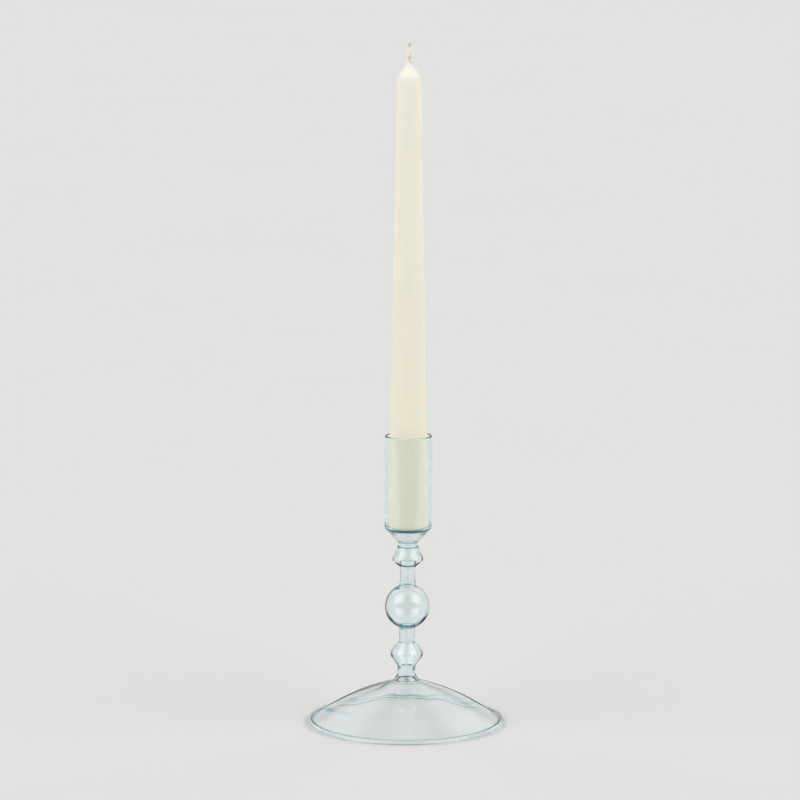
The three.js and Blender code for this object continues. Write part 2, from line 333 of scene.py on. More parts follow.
world = bpy.data.worlds.new("studio")
bpy.context.scene.world = world
world.use_nodes = True
tree = world.node_tree
sky = add_node(tree, "ShaderNodeTexCoord")
parts = add_node(tree, "ShaderNodeSeparateXYZ")
lift = slope(tree, -1, 1)
room = ramp_of(tree, [(height, (grey, grey, grey * ROOM_BLUE, 1.0)) for height, grey in ROOM_STOPS])
unlit = fade(tree, UNLIT_FROM, UNLIT_FULL, 1.0, UNLIT_LEVEL)
eye = add_node(tree, "ShaderNodeLightPath")
reflected = number_node(tree, "MINIMUM")
reflected.inputs[1].default_value = 1.0
amount = add_node(tree, "ShaderNodeMix", {"data_type": "FLOAT"})
amount.inputs[2].default_value = 1.0
dimmed = vector_node(tree, "SCALE")
join(tree, sky, "Generated", parts, "Vector")
join(tree, parts, "Z", lift, "Value")
join(tree, lift, "Result", room, "Fac")
join(tree, parts, "Y", unlit, "Value")
join(tree, eye, "Glossy Depth", reflected, 0)
join(tree, reflected, "Value", amount, 0)
join(tree, unlit, "Result", amount, 3)
join(tree, room, "Color", dimmed, "Vector")
join(tree, amount, 0, dimmed, "Scale")
print("room stops:", len(ROOM_STOPS))

# %% [markdown]
# ## Soft lights
#
# Large soft lights stand left and right of the camera, and weaker ones behind the candlestick.
# They could be area lamps, but those leave the far floor dark. Painted into the world as soft
# patches of sky they light a floor of any size evenly. The camera itself sees one pale tone.

# %% Soft lights in the world
HORIZON_TONE = (0.75, 0.75, 0.74, 1.0)
SOFT_LIGHTS = [
    # azimuth from the camera, elevation, angular radius, strength
    (-62, 42, 26, 2.5),
    (62, 42, 26, 2.5),
    (-140, 38, 20, 1.0),
    (140, 38, 20, 1.0),
]
LIGHT_EDGE = 1.4
LIGHT_CORE = 0.45

light_sum = dimmed
for azimuth, elevation, spread, strength in SOFT_LIGHTS:
    across = math.radians(azimuth)
    up = math.radians(elevation)
    towards = (math.sin(across) * math.cos(up), -math.cos(across) * math.cos(up), math.sin(up))
    facing = vector_node(tree, "DOT_PRODUCT")
    facing.inputs[1].default_value = towards
    edge = math.cos(math.radians(spread * LIGHT_EDGE))
    core = math.cos(math.radians(spread * LIGHT_CORE))
    glow = fade(tree, edge, core, high=strength)
    lit = vector_node(tree, "ADD")
    join(tree, sky, "Generated", facing, 0)
    join(tree, facing, "Value", glow, "Value")
    join(tree, light_sum, "Vector", lit, 0)
    join(tree, glow, "Result", lit, 1)
    light_sum = lit
seen = blend_tones(tree, second=HORIZON_TONE)
join(tree, eye, "Is Camera Ray", seen, 0)
join(tree, light_sum, "Vector", seen, TONE_A)
join(tree, seen, TONE_OUT, tree.nodes["Background"], "Color")
print("soft lights:", len(SOFT_LIGHTS))

# %% [markdown]
# ## How far light is followed
#
# Looking through a hollow ball, the eye meets four surfaces of glass, and light that runs along
# inside a wall is thrown from side to side many times. A renderer gives up on a ray after a few
# such meetings and paints it black, so we let it follow light further. It also blurs what rough
# surfaces mirror, to save time, and we turn that off, because it would smear the thin dark lines.

# %% How far light is followed
GLASS_BOUNCES = 24
MIRROR_BOUNCES = 12

scene = bpy.context.scene
scene.view_settings.view_transform = "Standard"
scene.cycles.max_bounces = GLASS_BOUNCES
scene.cycles.transmission_bounces = GLASS_BOUNCES
scene.cycles.glossy_bounces = MIRROR_BOUNCES
scene.cycles.blur_glossy = 0
print("bounces in glass:", GLASS_BOUNCES)

# %% [markdown]
# ## Clear glass with a breath of teal
#
# The glass is all but clear: a single wall takes away next to nothing, yet where we look along
# a wall instead of through it the light crosses centimetres of glass and comes out teal. A
# tinted surface can't do that. Absorption inside the volume does, and needs closed pieces.
#
# Where two sections were melted together, the glass has gathered into a thick ring. Such a place
# bends the view right out of the picture, into the dark of the room, and looks almost black, with
# a teal edge. Modelled as real ridges, these rings are thinner than a pixel and break up, so that
# darkness is painted into the colour of the glass as painted shade, and short streaks of the same
# painted shade stand for dark glints elsewhere. First the streaks, each a soft long drop.

# %% A soft streak
STREAK_CORE = 0.1


def soft_streak(tree, place, start, end, reach, depth):
    """A streak of colour from place to place in mm, which fades to nothing on all sides."""
    half = (Vector(end) - Vector(start)) / 2 * MM
    offset = vector_node(tree, "SUBTRACT")
    offset.inputs[1].default_value = (Vector(start) + Vector(end)) / 2 * MM
    share = vector_node(tree, "DOT_PRODUCT")
    share.inputs[1].default_value = half / half.length_squared
    nearest = vector_node(tree, "SCALE")
    nearest.inputs[0].default_value = half
    aside = vector_node(tree, "DISTANCE")
    wide = number_node(tree, "DIVIDE")
    wide.inputs[1].default_value = reach * MM
    both = add_node(tree, "ShaderNodeCombineXYZ")
    away = vector_node(tree, "LENGTH")
    streak = fade(tree, 1.0, STREAK_CORE, high=depth)
    join(tree, place, "Object", offset, 0)
    join(tree, offset, "Vector", share, 0)
    join(tree, share, "Value", nearest, "Scale")
    join(tree, offset, "Vector", aside, 0)
    join(tree, nearest, "Vector", aside, 1)
    join(tree, aside, "Value", wide, 0)
    join(tree, share, "Value", both, "X")
    join(tree, wide, "Value", both, "Y")
    join(tree, both, "Vector", away, 0)
    join(tree, away, "Value", streak, "Value")
    return streak


print("a streak has its full depth within", STREAK_CORE, "of its reach")

# %% [markdown]
# ## Rings of painted shade at the welds
#
# A ramp over the height paints the rings of painted shade. They tint light only as it enters the
# glass, on the near half, or each of them would show twice. One more ring, between foot and
# collar, shows through the glass from behind, so that one is painted on the far half alone.

# %% Where the glass has gathered thick, and its painted shade
RING_SPAN = (20.0, 120.0)
# Painted shade: each ring darkens the glass colour where a thick weld bends the view into the dark
# room.
WELD_SHADE_RINGS = [
    # height in mm, half width in mm, depth of painted shade
    (57.6, 1.15, 1.0),
    (92.1, 0.55, 1.0),
    (102.76, 0.35, 0.92),
    (105.56, 0.35, 0.7),
    (113.35, 1.1, 0.95),
]
# A ring of painted shade that is seen from behind, through the glass.
BACK_SHADE_RING = (25.1, 0.5)  # height and half width in mm
HALVES_MEET = 0.5  # mm on either side of the middle
# Painted shade: each streak darkens the glass colour where the glass shows a dark glint.
STREAKS = [
    # from and to in mm, reach in mm on either side, depth of painted shade
    ((-8.6, -1.0, 77.9), (-3.8, -5.4, 79.6), 1.4, 1.0),
    ((-4.8, -1.9, 55.3), (-2.5, -3.6, 55.3), 1.1, 1.0),
    ((-5.7, -2.8, 32.8), (-4.0, -4.0, 32.4), 1.3, 1.0),
    ((1.9, -4.1, 30.8), (4.5, -1.8, 32.8), 1.3, 1.0),
    ((-50.0, 10.0, 5.4), (-40.8, -16.0, 10.2), 2.9, 0.5),
    ((-46.0, -9.0, 8.9), (-28.0, -30.0, 11.6), 2.8, 0.12),
    ((-21.0, -10.0, 19.6), (-6.5, 1.5, 25.6), 2.4, 0.45),
]


def shade_ring_stops():
    """Stops of a ramp over the height: nothing, but for a soft band of painted shade at each weld.
    """
    low, high = RING_SPAN
    stops = [(0.0, 0.0)]
    for height, half, depth in WELD_SHADE_RINGS:
        for part, level in ((-1, 0.0), (-0.5, depth), (0.5, depth), (1, 0.0)):
            stops.append(((height + part * half - low) / (high - low), level))
    return stops


def painted_weld_shade(tree, place):
    """How deep the painted shade of the thick glass is at a point of the surface at the welds."""
    low, high = RING_SPAN
    parts = add_node(tree, "ShaderNodeSeparateXYZ")
    rise = slope(tree, low * MM, high * MM)
    rings = ramp_of(tree, shade_ring_stops())
    surface = add_node(tree, "ShaderNodeNewGeometry")
    entered = number_node(tree, "SUBTRACT", True)
    behind = slope(tree, -HALVES_MEET * MM, HALVES_MEET * MM)
    ahead = number_node(tree, "SUBTRACT", True)
    level = number_node(tree, "COMPARE")
    level.inputs[1].default_value = BACK_SHADE_RING[0] * MM
    level.inputs[2].default_value = BACK_SHADE_RING[1] * MM
    total = number_node(tree, "MULTIPLY_ADD")
    join(tree, place, "Object", parts, "Vector")
    join(tree, parts, "Z", rise, "Value")
    join(tree, rise, "Result", rings, "Fac")
    join(tree, rings, "Color", entered, 0)
    join(tree, surface, "Backfacing", entered, 1)
    join(tree, parts, "Y", behind, "Value")
    join(tree, entered, "Value", ahead, 0)
    join(tree, behind, "Result", ahead, 1)
    join(tree, parts, "Z", level, 0)
    join(tree, behind, "Result", total, 0)
    join(tree, level, "Value", total, 1)
    join(tree, ahead, "Value", total, 2)
    return total


def pooled_tint_and_painted_shade(tree, place):
    """How deep the painted shade is at a point of the surface, in rings at the thick welds and in
    streaks.
    """
    total = painted_weld_shade(tree, place)
    for streak in STREAKS:
        more = number_node(tree, "MAXIMUM")
        join(tree, total, "Value", more, 0)
        join(tree, soft_streak(tree, place, *streak), "Result", more, 1)
        total = more
    return total


print("pooled glass:", len(WELD_SHADE_RINGS) + 1, "rings and", len(STREAKS), "streaks")

# %% [markdown]
# ## The glass itself
#
# One shader serves for all of the glass: full transmission, a refraction index of 1.47, next to
# no roughness, and a faint bump, drawn out round the piece, where the tool touched it. The depth
# of its teal is given by the metre of glass. The stem is thin-walled tube and needs a deeper tint
# to show any, while foot and cup, seen along long walls, need less. They are also smoother: a
# tube that was drawn, and a dome that was spun, bear fewer marks of the tool. So we make two.

# %% Glass material
GLASS_TINT = (0.10, 0.88, 0.98, 1.0)
GLASS_INDEX = 1.47
GLASS_ROUGHNESS = 0.01
STEM_DEPTH = 82.0
THIN_DEPTH = 34.0
STEM_BUMP = 0.25
THIN_BUMP = 0.08
RIPPLE_STRETCH = (40, 40, 120)
RIPPLE_HEIGHT = 0.04
# Colours of the painted shade at the welds and streaks, from clear to near black.
POOLED_TINT_AND_SHADE_STOPS = [
    # depth of painted shade: clear, teal edge, dark core
    (0.0, (1.0, 1.0, 1.0, 1.0)),
    (0.5, (0.16, 0.52, 0.62, 1.0)),
    (1.0, (0.003, 0.024, 0.032, 1.0)),
]


def blown_glass(name, depth, bumpiness):
    """Clear glass with a depth of teal, a bumpiness, and painted shade at its thick welds and in
    streaks.
    """
    material, tree, shader = new_material(name)
    shader.inputs["Roughness"].default_value = GLASS_ROUGHNESS
    shader.inputs["IOR"].default_value = GLASS_INDEX
    shader.inputs["Transmission Weight"].default_value = 1.0
    place = add_node(tree, "ShaderNodeTexCoord")
    ripple = noise_on(tree, place, RIPPLE_STRETCH, Scale=1.0, Detail=2.0, Roughness=0.4)
    add_bump(tree, ripple, bumpiness, RIPPLE_HEIGHT, shader)
    pooled_and_shaded = ramp_of(tree, POOLED_TINT_AND_SHADE_STOPS)
    join(tree, pooled_tint_and_painted_shade(tree, place), "Value", pooled_and_shaded, "Fac")
    # The painted shade goes into the colour of the glass.
    join(tree, pooled_and_shaded, "Color", shader, "Base Color")
    tint = add_node(tree, "ShaderNodeVolumeAbsorption", Color=GLASS_TINT, Density=depth)
    join(tree, tint, "Volume", tree.nodes["Material Output"], "Volume")
    print(name, "tint:", GLASS_TINT[:3], "density:", depth)
    return material


stem_material = blown_glass("blown_glass", STEM_DEPTH, STEM_BUMP)
thin_material = blown_glass("thin_blown_glass", THIN_DEPTH, THIN_BUMP)

# %% [markdown]
# ## Drawing an outline
#
# Blown work is round because it is turned all the time it is hot, so every section is an
# outline swept round the axis. We give an outline by a few places and draw one smooth curve
# through them. A Blender curve could draw it too, but its handles would have to be set by hand.

# %% Smooth line through a few points
def part_way(first, second, start, end, moment):
    """A place between two places, as far along as the moment is between start and end."""
    return first * ((end - moment) / (end - start)) + second * ((moment - start) / (end - start))


def smooth_line(places, steps=8):
    """One smooth curve of (radius, height) through the given places, as a list of points."""
    places = [Vector(place) for place in places]
    before = places[0] * 2 - places[1]
    after = places[-1] * 2 - places[-2]
    row = [before, *places, after]
    line = []
    for a, b, c, d in zip(row, row[1:], row[2:], row[3:]):
        moments = [0.0]
        for here, there in ((a, b), (b, c), (c, d)):
            moments.append(moments[-1] + max((there - here).length, 1e-9) ** 0.5)
        t0, t1, t2, t3 = moments
        for step in range(steps):
            t = t1 + (t2 - t1) * step / steps
            ab = part_way(a, b, t0, t1, t)
            bc = part_way(b, c, t1, t2, t)
            cd = part_way(c, d, t2, t3, t)
            abc = part_way(ab, bc, t0, t2, t)
            bcd = part_way(bc, cd, t1, t3, t)
            line.append(part_way(abc, bcd, t1, t2, t))
    line.append(places[-1])
    return [(point.x, point.y) for point in line]


def round_arc(centre, radius, start, end, steps=16):
    """Points round part of a circle, from one angle to another in degrees."""
    points = []
    for step in range(steps + 1):
        angle = math.radians(start + (end - start) * step / steps)
        points.append((centre[0] + radius * math.cos(angle), centre[1] + radius * math.sin(angle)))
    return points


print("a line through 3 points has", len(smooth_line([(1, 0), (2, 1), (1, 2)])), "points")

# %% [markdown]
# ## Sweeping an outline round the axis
#
# A Screw modifier would sweep the outline, but we want the maker's hand in it too, so we place
# the points ourselves and push each one by a small, smooth amount. The outline is two lines that
# both rise: the skin outside and the bore inside. A ring of points goes round the axis at each
# of their points, up the skin and down the bore, and faces join each ring to the next until the
# piece is closed, as volume absorption needs. The stem of the real one was welded a hair off
# true, so each ring is also shifted sideways, less the higher it is.

# %% Rings of points
ROUND_STEPS = 144
LEAN = -1.4
STRAIGHT_FROM = 167


def keep_true(r, z, angle):
    """A machine's hand: nothing strays."""
    return r, z


def lean(z):
    """How far the glass stands off to the side at a height, in mm."""
    return LEAN * (1 - min(z / STRAIGHT_FROM, 1)) ** 2


def ring_of(shape, radius, height, hand):
    """One ring of points round the axis, from mm, or the single point on the axis."""
    if radius < 1e-6:
        return [shape.verts.new(Vector((lean(height), 0, height)) * MM)]
    ring = []
    for step in range(ROUND_STEPS):
        angle = 2 * math.pi * step / ROUND_STEPS
        r, z = hand(radius, height, angle)
        point = Vector((r * math.cos(angle) + lean(z), r * math.sin(angle), z))
        ring.append(shape.verts.new(point * MM))
    return ring


print("the foot stands", -LEAN, "mm to the left of the cup")

# %% Sweep an outline round the axis
SHARP_ANGLE = 38


def turned(name, skin, bore, skin_hand=keep_true, bore_hand=keep_true):
    """A closed piece from two lines in mm that rise from its bottom: its skin and its bore."""
    shape = bmesh.new()
    rings = [ring_of(shape, radius, height, skin_hand) for radius, height in skin]
    rings += [ring_of(shape, radius, height, bore_hand) for radius, height in reversed(bore)]
    if len(rings[0]) > 1:
        rings.append(rings[0])
    for lower, upper in zip(rings, rings[1:]):
        for step in range(ROUND_STEPS):
            follow = (step + 1) % ROUND_STEPS
            corners = [lower[step % len(lower)], lower[follow % len(lower)]]
            corners += [upper[follow % len(upper)], upper[step % len(upper)]]
            shape.faces.new(list(dict.fromkeys(corners)))
    bmesh.ops.recalc_face_normals(shape, faces=shape.faces)
    piece = object_from(name, shape)
    piece.data.shade_smooth()
    piece.data.set_sharp_from_angle(angle=math.radians(SHARP_ANGLE))
    return piece


def finish_piece(piece, node, body, material):
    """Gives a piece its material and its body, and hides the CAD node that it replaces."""
    piece.data.materials.append(material)
    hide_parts(node)
    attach(piece, body)
    low, high = (round(height, 1) for height in span_of(node))
    print(piece.name, "faces:", len(piece.data.polygons), "from", low, "to", high, "mm")


print("steps round a ring:", ROUND_STEPS)

# %% [markdown]
# ## The maker's hand
#
# A true circle gives reflections that look machined. Real work carries a slow oval, a slower
# dent and a faint wobble, which turn and fade along the piece. Three sine waves of the angle
# and the height are enough, and the same numbers come out on every run.

# %% Unevenness of hot glass
HAND_WAVES = [
    # waves round the piece, turn by the mm of height, share of the phase, share of the size
    (2, 0.055, 1.0, 0.55),
    (3, -0.080, 2.3, 0.30),
    (5, 0.150, 1.7, 0.15),
]
FULL_HAND = 6
SKIN_STRAY = 0.07
BORE_STRAY = 0.14


def waver(angle, height, phase):
    """How far hot glass strays from true round there, as a share of the hand's unevenness."""
    stray = 0
    for waves, turn, shift, share in HAND_WAVES:
        stray += share * math.sin(waves * angle + turn * height + shift * phase)
    return stray


def hand_of(size, phase):
    """A hand that strays by up to size in mm, and less within FULL_HAND mm of the axis."""
    def hand(r, z, angle):
        return r + size * min(r / FULL_HAND, 1) * waver(angle, z, phase), z
    return hand


skin_hand = hand_of(SKIN_STRAY, 0.4)
bore_hand = hand_of(BORE_STRAY, 2.0)
print("a ball's skin strays by up to", SKIN_STRAY, "mm, its bore by up to", BORE_STRAY, "mm")

# %% [markdown]
# ## The stem, drawn as one line
#
# Between foot and cup the stem is a string of sections, each gathered, blown and welded to the
# one below. A maker reads it as one flowing outline, so we draw it so: one line for the skin
# and one for the bore, through places measured on the photograph. Blown walls are thin, here
# 0.6 to 0.9 mm, and they have to be: light that is caught in a thin wall comes out of the lower
# side of the ball and of the knops as one fine dark arc. A thick wall, tried first, spreads that
# arc over a third of the ball and makes it look like a lens.

# %% Skin of the stem
BALL_RADIUS = 12.8
BALL_WELD_RADIUS = 4.3

ball_centre = span_of("ball")[0] + math.sqrt(BALL_RADIUS ** 2 - BALL_WELD_RADIUS ** 2)

stem_skin = [(7.2, 24.8), (6.7, 25.6), (5.9, 26.8), (5.22, 28.1), (4.9, 30.3), (5.1, 32.8)]
stem_skin += [(5.55, 33.9), (6.35, 35.1), (7.3, 36.3), (8.2, 37.5), (8.85, 38.7), (9.25, 40.2)]
stem_skin += [(9.05, 41.2), (8.5, 42.3), (7.75, 43.5), (6.8, 44.7), (5.6, 46.0), (4.7, 47.1)]
stem_skin += [(4.52, 48.2), (4.46, 51.5), (4.33, 54.4), (4.5, 55.5)]
stem_skin += round_arc((0, ball_centre), BALL_RADIUS, -66, 64, 26)
stem_skin += [(4.98, 79.9), (4.62, 81.6), (4.32, 84.5), (4.24, 87.6), (4.35, 90.2)]
stem_skin += [(4.75, 91.3), (5.9, 92.3), (7.2, 93.35), (8.3, 94.3), (8.8, 95.3), (8.55, 96.5)]
stem_skin += [(8.0, 97.7), (7.2, 99.2), (6.5, 100.7), (6.15, 101.9), (5.98, 102.76)]
stem_skin += [(5.62, 103.4), (5.48, 104.2), (5.6, 105.0), (5.85, 105.56)]
outside = smooth_line(stem_skin)
print("skin of the stem:", len(outside), "points")

# %% Bore of the stem
BUBBLE_RADIUS = 12.1
BUBBLE_LIFT = 0.3

stem_bore = [(6.2, 24.8), (5.2, 26.4), (4.5, 28.2), (4.1, 30.3), (4.2, 32.8), (4.9, 34.5)]
stem_bore += [(6.4, 36.5), (7.8, 38.5), (8.5, 40.3), (8.2, 41.5), (7.4, 42.9), (6.2, 44.5)]
stem_bore += [(4.9, 46.0), (4.0, 47.1), (3.75, 48.4), (3.65, 51.5), (3.5, 54.6), (3.6, 56.4)]
stem_bore += round_arc((0, ball_centre + BUBBLE_LIFT), BUBBLE_RADIUS, -72, 72, 30)
stem_bore += [(3.8, 80.0), (3.6, 81.8), (3.5, 84.5), (3.45, 87.6), (3.6, 90.6), (4.3, 92.1)]
stem_bore += [(6.0, 93.4), (7.5, 94.6), (8.0, 95.6), (7.75, 96.8), (7.1, 98.3), (6.3, 100.0)]
stem_bore += [(5.6, 101.6), (5.1, 102.8), (4.8, 104.2), (4.95, 105.56)]
inside = smooth_line(stem_bore)
print("bore of the stem:", len(inside), "points")

# %% [markdown]
# ## Sections of the stem
#
# Each section is the stretch of both lines between its own two weld planes, which come from the
# CAD model. Neighbours meet exactly, with a hair's breadth between them. The alternative,
# one mesh for the whole stem, would render the same, but a part in a library is taken apart.

# %% Cut the sections out of the lines
WELD_GAP = 0.02
STEM_SECTIONS = ["foot_collar", "lower_knop", "lower_neck", "ball", "upper_neck", "upper_knop"]
STEM_SECTIONS += ["merese"]


def between(line, low, high):
    """The part of a rising line between two heights, with a point on each of them."""
    part = []
    for (r0, z0), (r1, z1) in zip(line, line[1:]):
        for height in (low, high):
            if z0 < height < z1:
                share = (height - z0) / (z1 - z0)
                part.append((r0 + share * (r1 - r0), height))
        if low < z1 < high:
            part.append((r1, z1))
    if line[0][1] >= low:
        part.insert(0, line[0])
    return sorted(part, key=lambda point: point[1])


for node in STEM_SECTIONS:
    low, high = span_of(node)
    skin = between(outside, low + WELD_GAP / 2, high - WELD_GAP / 2)
    bore = between(inside, low + WELD_GAP / 2, high - WELD_GAP / 2)
    section = turned(node + "_glass", skin, bore, skin_hand, bore_hand)
    finish_piece(section, node, "candlestick", stem_material)

# %% [markdown]
# ## The foot
#
# The foot is a thin dome with a rolled rim, flared from a bubble that was opened and spun out
# flat. The rim is thick because its edge was folded on itself by the flame, and the dome is
# under a millimetre. We draw the dome outside, go round the rim, and come back inside one wall
# lower. The dome waves up and down by a hair where the tool pressed it, least at the rim, which
# stands flat. A deeper wave, tried first, bends the paper behind into a false oval.

# %% Foot
RIM_CENTRE = (54.7, 1.3)
RIM_RADIUS = 1.3
FOOT_RADIUS = 56
FOOT_WAVE = 0.07
WAVE_SPREAD = 0.7

dome = [(7.2, 24.8), (8.6, 24.25), (14.0, 22.25), (21.0, 19.6), (28.0, 16.65), (36.0, 12.7)]
dome += [(44.0, 8.15), (50.5, 4.3), (53.6, 2.75), (54.9, 2.56)]
hollow = [(52.6, 2.05), (50.1, 3.6), (43.6, 7.4), (35.6, 11.95), (27.6, 15.9), (20.7, 18.85)]
hollow += [(13.7, 21.5), (8.9, 23.3), (6.9, 24.1), (6.4, 24.8)]
rim = round_arc(RIM_CENTRE, RIM_RADIUS, -195, 72, 34)


def foot_hand(phase):
    """A hand that waves the dome up and down, least at its middle and at its rim."""
    def hand(r, z, angle):
        reach = min(r / FOOT_RADIUS, 1)
        swell = math.sin(2 * angle + 9 * reach + phase) + 0.6 * math.sin(3 * angle - 14 * reach)
        press = 0.5 * math.sin(7 * angle + 4 * reach + 2 * phase)
        wave = FOOT_WAVE * math.sin(math.pi * reach) ** WAVE_SPREAD * (0.5 * swell + press)
        return r, max(z + wave, 0)
    return hand


foot_skin = rim + smooth_line(dome, 12)[::-1]
foot_glass = turned("foot_glass", foot_skin, smooth_line(hollow, 12), foot_hand(0.5), foot_hand(1.3))
finish_piece(foot_glass, "foot", "candlestick", thin_material)

# %% [markdown]
# ## The cup
#
# The cup is a cone with a straight tube on it. Cone and tube meet in a corner, where the glass
# is twice as thick, and the candle stands on the slope inside. The lip is rounded by the flame.
# The tube was drawn true, so it gets no hand: waves in it show as ragged dark lines in the wall.
# At its narrow end the cone opens into the hollow of the spool below, since a floor there shows
# through the cone as a dark oval that the photograph hasn't got.

# %% Cup
CUP_RADIUS = 13.4
CUP_BORE = 12.2
CUP_LOW, CUP_TOP = span_of("candle_cup")
LIP = (CUP_RADIUS - CUP_BORE) / 2

cone = [(5.85, CUP_LOW), (7.5, 107.35), (9.55, 109.6), (11.6, 111.8), (12.75, 113.0), (13.25, 113.6)]
cup_skin = smooth_line(cone + [(13.38, 114.1), (13.4, 116.0)])
cup_skin += smooth_line([(CUP_RADIUS, 116.2), (CUP_RADIUS, 140.0), (CUP_RADIUS, CUP_TOP - LIP)], 24)
cup_skin += round_arc((CUP_RADIUS - LIP, CUP_TOP - LIP), LIP, 6, 174, 20)
slant = [(4.95, CUP_LOW), (5.3, 106.3), (6.8, 108.1), (8.7, 110.8), (10.5, 112.7), (11.5, 113.9)]
cup_bore = smooth_line(slant + [(12.05, 115.2), (CUP_BORE, 117.0)])
cup_bore += smooth_line([(CUP_BORE, 117.2), (CUP_BORE, 140.0), (CUP_BORE, CUP_TOP - LIP)], 24)

cup_glass = turned("cup_glass", cup_skin, cup_bore)
finish_piece(cup_glass, "candle_cup", "candlestick", thin_material)

# %% [markdown]
# ## Wax
#
# Candle wax lets light in a millimetre or two and scatters it, which softens every shade on it.
# Subsurface scattering gives that. The colour is an ivory with faint clouds, whiter towards the
# tip. The gloss is low and uneven, and a fine bump keeps the surface from looking like plastic.

# %% Wax material
IVORY = (0.90, 0.862, 0.70, 1)
IVORY_CLOUD = (0.87, 0.822, 0.64, 1)
TIP_IVORY = (0.92, 0.888, 0.785, 1)
WHITER_SPAN = (120, 380)
WHITER_MOST = 0.9
WAX_ROUGHNESS = (0.42, 0.6)

wax, tree, shader = new_material("ivory_wax")
shader.inputs["Subsurface Weight"].default_value = 0.2
shader.inputs["Subsurface Radius"].default_value = (1.0, 0.8, 0.5)
shader.inputs["Subsurface Scale"].default_value = 0.003
place = add_node(tree, "ShaderNodeTexCoord")
cloud = noise_on(tree, place, Scale=38.0, Detail=3.0, Roughness=0.55)
clouded = blend_tones(tree, IVORY, IVORY_CLOUD)
parts = add_node(tree, "ShaderNodeSeparateXYZ")
rise = slope(tree, WHITER_SPAN[0] * MM, WHITER_SPAN[1] * MM, high=WHITER_MOST)
whiter = blend_tones(tree, second=TIP_IVORY)
gloss = slope(tree, 0, 1, *WAX_ROUGHNESS)
join(tree, cloud, "Fac", clouded, 0)
join(tree, place, "Object", parts, "Vector")
join(tree, parts, "Z", rise, "Value")
join(tree, rise, "Result", whiter, 0)
join(tree, clouded, TONE_OUT, whiter, TONE_A)
join(tree, whiter, TONE_OUT, shader, "Base Color")
join(tree, cloud, "Fac", gloss, "Value")
join(tree, gloss, "Result", shader, "Roughness")
grain = noise_on(tree, place, Scale=420.0, Detail=2.0)
add_bump(tree, grain, 0.15, 0.05, shader)
print("wax roughness:", WAX_ROUGHNESS)

# %% [markdown]
# ## The candle
#
# A dipped candle is a long taper: each dip runs down and leaves the foot a little thicker. The
# top draws in to a rounded point and the wax climbs the wick by two millimetres. It is turned
# from an outline as the glass is, with slow swells, and it is hollow where the wick runs.

# %% Candle
CANDLE_LOW, CANDLE_TOP = span_of("candle")
CANDLE_SEAT = CANDLE_LOW + 0.6
WICK_BORE = 1.65
WICK_NECK = 1.35
WAX_TOP = 378.7
WAX_STRAY = 0.05

base = [(10.2, CANDLE_SEAT), (10.6, CANDLE_SEAT + 0.1), (10.9, CANDLE_SEAT + 0.45)]
base += [(11.0, CANDLE_SEAT + 1.4)]
taper = [(10.98, 118.0), (10.45, 167.5), (10.06, 185.1), (9.0, 242.3), (7.98, 299.2)]
taper += [(7.15, 355.5), (6.98, 365.6)]
tip = [(6.86, 368.2), (6.38, 370.7), (5.4, 372.8), (4.15, 374.5), (3.1, 375.7), (2.3, 376.7)]
tip += [(1.88, 377.6), (1.62, 378.3), (1.5, WAX_TOP)]
candle_skin = smooth_line(base, 6) + smooth_line(taper, 20) + smooth_line(tip, 6)
candle_bore = [(WICK_BORE, CANDLE_SEAT), (WICK_BORE, CANDLE_TOP - 1.5), (WICK_NECK, CANDLE_TOP)]
candle_bore += [(WICK_NECK, WAX_TOP)]

candle_wax = turned("candle_wax", candle_skin, candle_bore, hand_of(WAX_STRAY, 1.1))
finish_piece(candle_wax, "candle", "loose_candle", wax)

# %% [markdown]
# ## Cotton
#
# The wick is bleached cotton. Its yarns show fine streaks along their length, a soft fuzz, and a
# few tan spots where the end was once singed. Streaks come from a noise stretched along the
# wick, the tan spots are short soft streaks that a second noise makes patchy, and the fuzz comes
# from sheen.

# %% Cotton material
BLEACHED = (0.99, 0.95, 0.86, 1)
UNBLEACHED = (0.95, 0.87, 0.73, 1)
SINGED = (0.66, 0.42, 0.21, 1)
YARN_STRETCH = (5200, 5200, 900)
PATCHY_SPAN = (0.40, 0.58)
SINGED_STREAKS = [
    # from and to in mm, reach in mm on either side, depth of colour
    ((0.1, -0.8, 386.8), (0.1, -0.8, 390.0), 1.1, 0.6),
    ((0.3, -0.8, 378.9), (0.3, -0.8, 384.6), 1.2, 1.0),
]

cotton, tree, shader = new_material("wick_cotton_yarn")
shader.inputs["Roughness"].default_value = 0.9
shader.inputs["Sheen Weight"].default_value = 0.3
place = add_node(tree, "ShaderNodeTexCoord")
drawn = noise_on(tree, place, YARN_STRETCH, Scale=1.0, Detail=3.0)
yarn = blend_tones(tree, BLEACHED, UNBLEACHED)
patchy = noise_on(tree, place, Scale=900.0, Detail=2.0)
uneven = slope(tree, *PATCHY_SPAN)
both = number_node(tree, "MAXIMUM")
for entry, streak in enumerate(SINGED_STREAKS):
    join(tree, soft_streak(tree, place, *streak), "Result", both, entry)
tan = number_node(tree, "MULTIPLY")
stained = blend_tones(tree, second=SINGED)
join(tree, drawn, "Fac", yarn, 0)
join(tree, patchy, "Fac", uneven, "Value")
join(tree, both, "Value", tan, 0)
join(tree, uneven, "Result", tan, 1)
join(tree, tan, "Value", stained, 0)
join(tree, yarn, TONE_OUT, stained, TONE_A)
join(tree, stained, TONE_OUT, shader, "Base Color")
add_bump(tree, drawn, 0.5, 0.06, shader)
print("singed streaks:", len(SINGED_STREAKS))

# %% [markdown]
# ## The wick
#
# The wick is a flat plait of three yarns that runs through the whole candle, with 14 mm of it
# standing free. In a plait each yarn swings from side to side while it passes over and under
# its neighbours, which two sine waves draw: one across, and one of half the length front to
# back. The end is pinched and frays, so loose fibres with a curl of their own finish it.

# %% A strand of yarn along a path
LOBE_DEPTH = 0.14
LOBE_TWIST = 0.24


